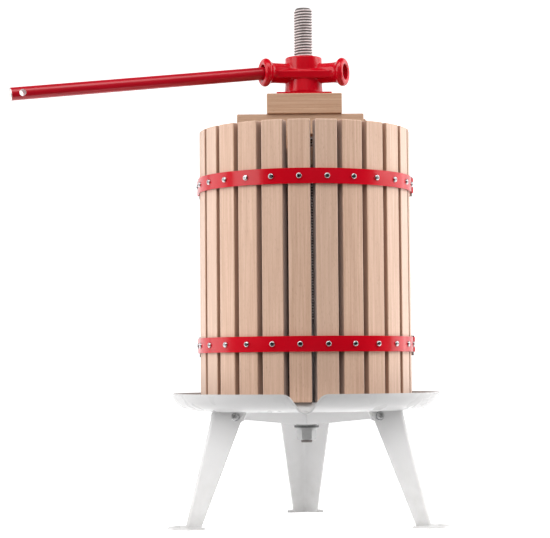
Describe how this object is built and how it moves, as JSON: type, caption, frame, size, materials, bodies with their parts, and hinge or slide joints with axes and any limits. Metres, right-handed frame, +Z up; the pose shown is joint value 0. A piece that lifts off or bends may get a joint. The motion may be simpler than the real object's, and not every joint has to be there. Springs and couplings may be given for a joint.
{
  "type": "fruit press",
  "caption": "Hand-cranked fruit press: slatted wooden basket on a tripod drip tray, pressed by boards under a screw hub with a turning bar.",
  "frame": {"origin": "on the spindle axis at floor level, the plane of the feet's undersides", "axes": "+Z up along the spindle, -Y towards the spout and the front, +X to the right seen from the front"},
  "size_m": [0.592, 0.4094, 0.731],
  "materials": {
    "beech": "bare planed beech",
    "red_paint": "glossy powder coat",
    "red_casting": "glossy paint on a casting",
    "white_enamel": "glossy enamel",
    "white_paint": "powder coat",
    "zinc_steel": "zinc plated",
    "spindle_steel": "machined steel"
  },
  "bodies": {
    "stand": {"leg_front_left": "white_paint", "leg_front_right": "white_paint", "leg_rear": "white_paint", "underframe": "white_paint", "leg_bolts": "zinc_steel", "leg_bolt_washers": "zinc_steel", "leg_nuts": "zinc_steel", "drip_tray": "white_enamel", "spindle": "spindle_steel", "tray_washer": "zinc_steel", "flat_washer": "zinc_steel", "spring_washer": "zinc_steel", "spindle_nut": "zinc_steel"},
    "basket": {"slat_01": "beech", "slat_02": "beech", "slat_03": "beech", "slat_04": "beech", "slat_05": "beech", "slat_06": "beech", "slat_07": "beech", "slat_08": "beech", "slat_09": "beech", "slat_10": "beech", "slat_11": "beech", "slat_12": "beech", "slat_13": "beech", "slat_14": "beech", "slat_15": "beech", "slat_16": "beech", "slat_17": "beech", "slat_18": "beech", "slat_19": "beech", "slat_20": "beech", "slat_21": "beech", "slat_22": "beech", "slat_23": "beech", "slat_24": "beech", "slat_25": "beech", "upper_band_front": "red_paint", "upper_band_rear": "red_paint", "lower_band_front": "red_paint", "lower_band_rear": "red_paint", "upper_band_screws": "zinc_steel", "lower_band_screws": "zinc_steel"},
    "pin_upper_left": {"pin_upper_left": "zinc_steel"},
    "pin_upper_right": {"pin_upper_right": "zinc_steel"},
    "pin_lower_left": {"pin_lower_left": "zinc_steel"},
    "pin_lower_right": {"pin_lower_right": "zinc_steel"},
    "press_head": {"press_plate": "red_paint", "top_block_front": "beech", "top_block_rear": "beech", "middle_block_front": "beech", "middle_block_rear": "beech", "lower_block_left": "beech", "lower_block_right": "beech", "press_board_front": "beech", "press_board_rear": "beech"},
    "hub": {"hub": "red_casting"},
    "bar": {"bar": "red_paint"}
  },
  "joints": [
    {"name": "head_travel", "type": "slide", "parent": "stand", "child": "press_head", "axis": [0, 0, 1], "range_m": [-0.0561, 0.0641]},
    {"name": "hub_turn", "type": "hinge", "parent": "press_head", "child": "hub", "pos_m": [0, 0, 0.6325], "axis": [0, 0, 1], "range_deg": [-5040, 5760]},
    {"name": "bar_slide", "type": "slide", "parent": "hub", "child": "bar", "axis": [-0.926, -0.3555, -0.1271], "range_m": [0, 0.045]},
    {"name": "basket_lift", "type": "slide", "parent": "stand", "child": "basket", "axis": [0, 0, 1], "range_m": [0, 0.05]},
    {"name": "pin_upper_left_slide", "type": "slide", "parent": "basket", "child": "pin_upper_left", "axis": [0, 0, 1], "range_m": [0, 0.03]},
    {"name": "pin_upper_right_slide", "type": "slide", "parent": "basket", "child": "pin_upper_right", "axis": [0, 0, 1], "range_m": [0, 0.03]},
    {"name": "pin_lower_left_slide", "type": "slide", "parent": "basket", "child": "pin_lower_left", "axis": [0, 0, 1], "range_m": [0, 0.03]},
    {"name": "pin_lower_right_slide", "type": "slide", "parent": "basket", "child": "pin_lower_right", "axis": [0, 0, 1], "range_m": [0, 0.03]}
  ],
  "couplings": [
    {"joint": "head_travel", "follows": "hub_turn", "m_per_rad": 0.00063662}
  ]
}
